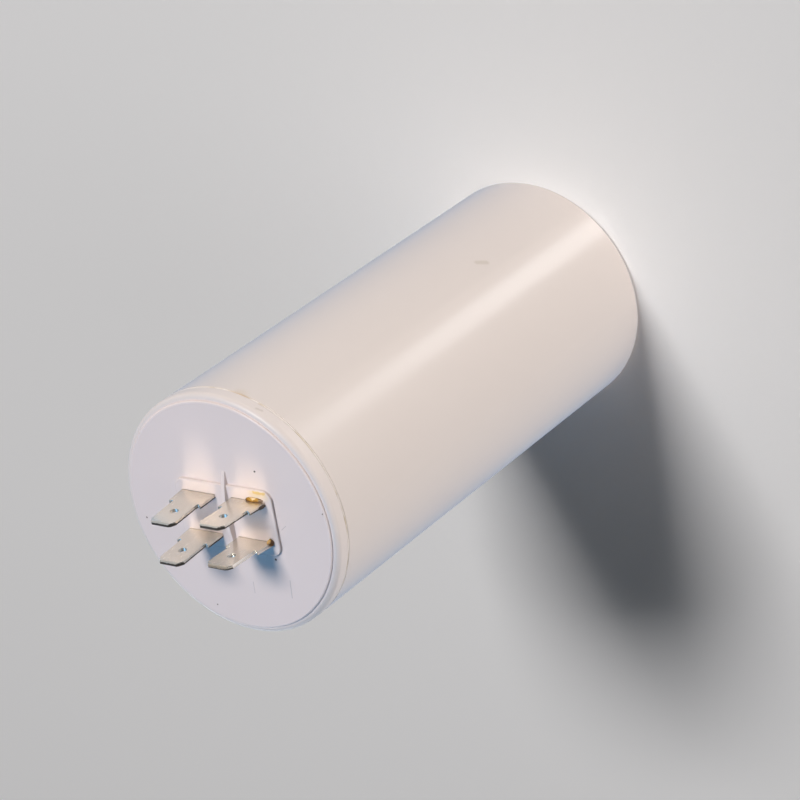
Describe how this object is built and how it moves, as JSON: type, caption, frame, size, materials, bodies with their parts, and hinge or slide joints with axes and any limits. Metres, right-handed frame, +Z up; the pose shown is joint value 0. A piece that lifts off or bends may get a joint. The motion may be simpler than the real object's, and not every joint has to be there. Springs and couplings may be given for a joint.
{
  "type": "capacitor",
  "caption": "Round plastic-cased film capacitor for motors, standing on its base, with double push-on tabs, a raised pad and a barrier rib on its lid.",
  "frame": {"origin": "middle of the base, on the plane that the can stands on", "axes": "+Z up along the can's axis to the tabs, +X across the two poles, +Y along the barrier rib"},
  "size_m": [0.055, 0.055, 0.1338],
  "materials": {
    "case_plastic": "smooth warm white moulding",
    "lid_plastic": "smooth cool white moulding",
    "tinned_metal": "tinned and slightly dull",
    "core_plastic": "plain tube",
    "metallised_film": "wound metallised film",
    "sprayed_zinc": "rough sprayed metal",
    "lead_metal": "tinned ribbon",
    "cast_resin": "cast resin"
  },
  "bodies": {
    "root": {"case": "case_plastic", "lid": "lid_plastic", "terminal_left": "tinned_metal", "terminal_right": "tinned_metal", "winding_core": "core_plastic", "film_winding": "metallised_film", "end_spray_lower": "sprayed_zinc", "end_spray_upper": "sprayed_zinc", "lead_lower": "lead_metal", "lead_upper": "lead_metal", "potting": "cast_resin"}
  },
  "joints": []
}
